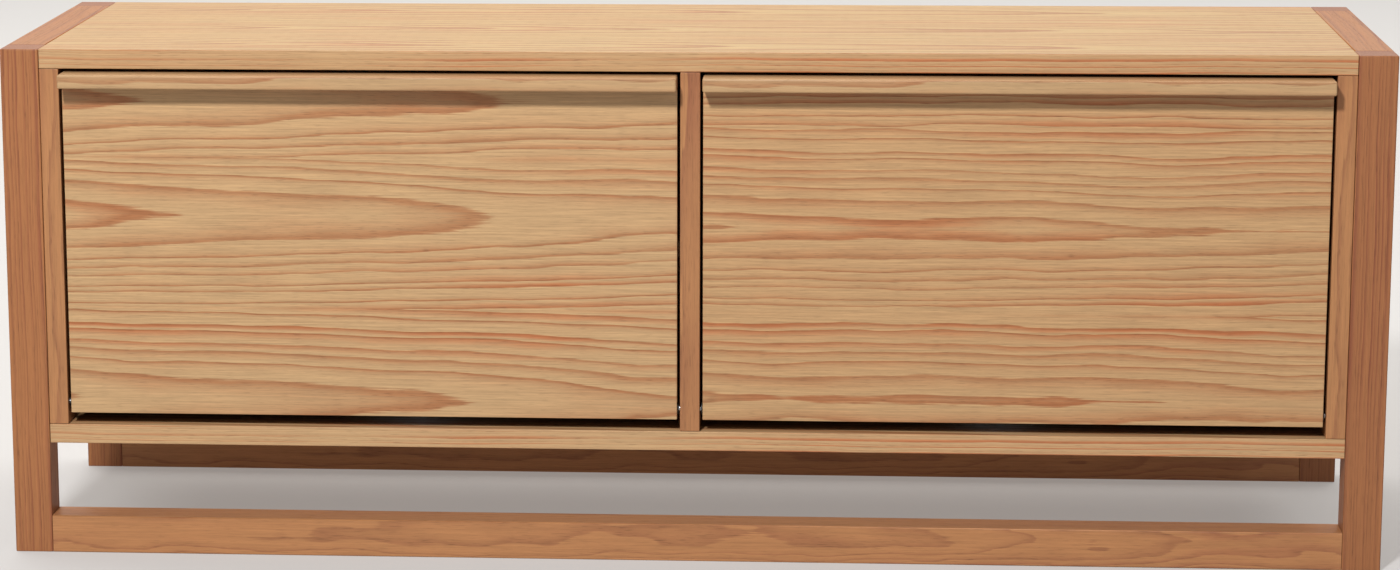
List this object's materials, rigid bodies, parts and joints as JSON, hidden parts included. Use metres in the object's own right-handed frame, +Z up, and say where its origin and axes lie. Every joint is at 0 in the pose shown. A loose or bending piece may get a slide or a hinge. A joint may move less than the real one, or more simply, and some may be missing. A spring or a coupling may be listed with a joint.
{
  "type": "media cabinet",
  "caption": "Low oak media cabinet: a veneered carcass with drop-down flaps, hung between solid end frames joined by rails at floor level, with full-width pull strips.",
  "frame": {"origin": "on the floor, in the middle of the bounding box with the pulls included", "axes": "+X to the right along the cabinet, +Z up, front faces towards -Y"},
  "size_m": [1.4, 0.442, 0.525],
  "materials": {
    "solid_oak": "satin lacquered solid oak",
    "oak_veneer": "satin lacquered oak veneer",
    "bright_steel": "zinc-plated steel",
    "black_steel": "black coated steel",
    "nylon": "black nylon",
    "black_plastic": "black moulded plastic"
  },
  "bodies": {
    "cabinet": {"back_base_rail": "solid_oak", "back_left_post": "solid_oak", "back_panel": "oak_veneer", "back_right_post": "solid_oak", "bottom_panel": "oak_veneer", "centre_divider": "oak_veneer", "front_base_rail": "solid_oak", "front_left_post": "solid_oak", "front_right_post": "solid_oak", "left_cable_grommet": "black_plastic", "left_flap_left_pivot_pin": "bright_steel", "left_flap_left_stay_stud": "bright_steel", "left_flap_right_pivot_pin": "bright_steel", "left_flap_right_stay_stud": "bright_steel", "left_magnetic_catch": "black_plastic", "left_shelf": "oak_veneer", "left_shelf_pin_front_left": "bright_steel", "left_shelf_pin_front_right": "bright_steel", "left_shelf_pin_rear_left": "bright_steel", "left_shelf_pin_rear_right": "bright_steel", "left_side_panel": "oak_veneer", "left_top_rail": "solid_oak", "right_cable_grommet": "black_plastic", "right_flap_left_pivot_pin": "bright_steel", "right_flap_left_stay_stud": "bright_steel", "right_flap_right_pivot_pin": "bright_steel", "right_flap_right_stay_stud": "bright_steel", "right_magnetic_catch": "black_plastic", "right_shelf": "oak_veneer", "right_shelf_pin_front_left": "bright_steel", "right_shelf_pin_front_right": "bright_steel", "right_shelf_pin_rear_left": "bright_steel", "right_shelf_pin_rear_right": "bright_steel", "right_side_panel": "oak_veneer", "right_top_rail": "solid_oak", "top_panel": "oak_veneer"},
    "left_flap": {"left_flap_left_pivot_bush": "nylon", "left_flap_left_stay_bracket": "black_steel", "left_flap_left_stay_rivet": "bright_steel", "left_flap_panel": "oak_veneer", "left_flap_pull": "solid_oak", "left_flap_right_pivot_bush": "nylon", "left_flap_right_stay_bracket": "black_steel", "left_flap_right_stay_rivet": "bright_steel", "left_strike_plate": "bright_steel"},
    "left_flap_left_stay": {"left_flap_left_stay_bar": "black_steel"},
    "left_flap_right_stay": {"left_flap_right_stay_bar": "black_steel"},
    "right_flap": {"right_flap_left_pivot_bush": "nylon", "right_flap_left_stay_bracket": "black_steel", "right_flap_left_stay_rivet": "bright_steel", "right_flap_panel": "oak_veneer", "right_flap_pull": "solid_oak", "right_flap_right_pivot_bush": "nylon", "right_flap_right_stay_bracket": "black_steel", "right_flap_right_stay_rivet": "bright_steel", "right_strike_plate": "bright_steel"},
    "right_flap_left_stay": {"right_flap_left_stay_bar": "black_steel"},
    "right_flap_right_stay": {"right_flap_right_stay_bar": "black_steel"}
  },
  "joints": [
    {"name": "left_flap_hinge", "type": "hinge", "parent": "cabinet", "child": "left_flap", "pos_m": [-0.3255, -0.1865, 0.158], "axis": [1, 0, 0], "range_deg": [0, 90]},
    {"name": "left_flap_left_stay_pivot", "type": "hinge", "parent": "left_flap", "child": "left_flap_left_stay", "pos_m": [-0.631, -0.16752, 0.27649], "axis": [1, 0, 0], "range_deg": [-45, 0]},
    {"name": "left_flap_right_stay_pivot", "type": "hinge", "parent": "left_flap", "child": "left_flap_right_stay", "pos_m": [-0.02, -0.16752, 0.27649], "axis": [1, 0, 0], "range_deg": [-45, 0]},
    {"name": "right_flap_hinge", "type": "hinge", "parent": "cabinet", "child": "right_flap", "pos_m": [0.3255, -0.1865, 0.158], "axis": [1, 0, 0], "range_deg": [0, 90]},
    {"name": "right_flap_left_stay_pivot", "type": "hinge", "parent": "right_flap", "child": "right_flap_left_stay", "pos_m": [0.02, -0.16752, 0.27649], "axis": [1, 0, 0], "range_deg": [-45, 0]},
    {"name": "right_flap_right_stay_pivot", "type": "hinge", "parent": "right_flap", "child": "right_flap_right_stay", "pos_m": [0.631, -0.16752, 0.27649], "axis": [1, 0, 0], "range_deg": [-45, 0]}
  ],
  "couplings": [
    {"joint": "left_flap_left_stay_pivot", "follows": "left_flap_hinge", "ratio": -0.5},
    {"joint": "left_flap_right_stay_pivot", "follows": "left_flap_hinge", "ratio": -0.5},
    {"joint": "right_flap_left_stay_pivot", "follows": "right_flap_hinge", "ratio": -0.5},
    {"joint": "right_flap_right_stay_pivot", "follows": "right_flap_hinge", "ratio": -0.5}
  ]
}
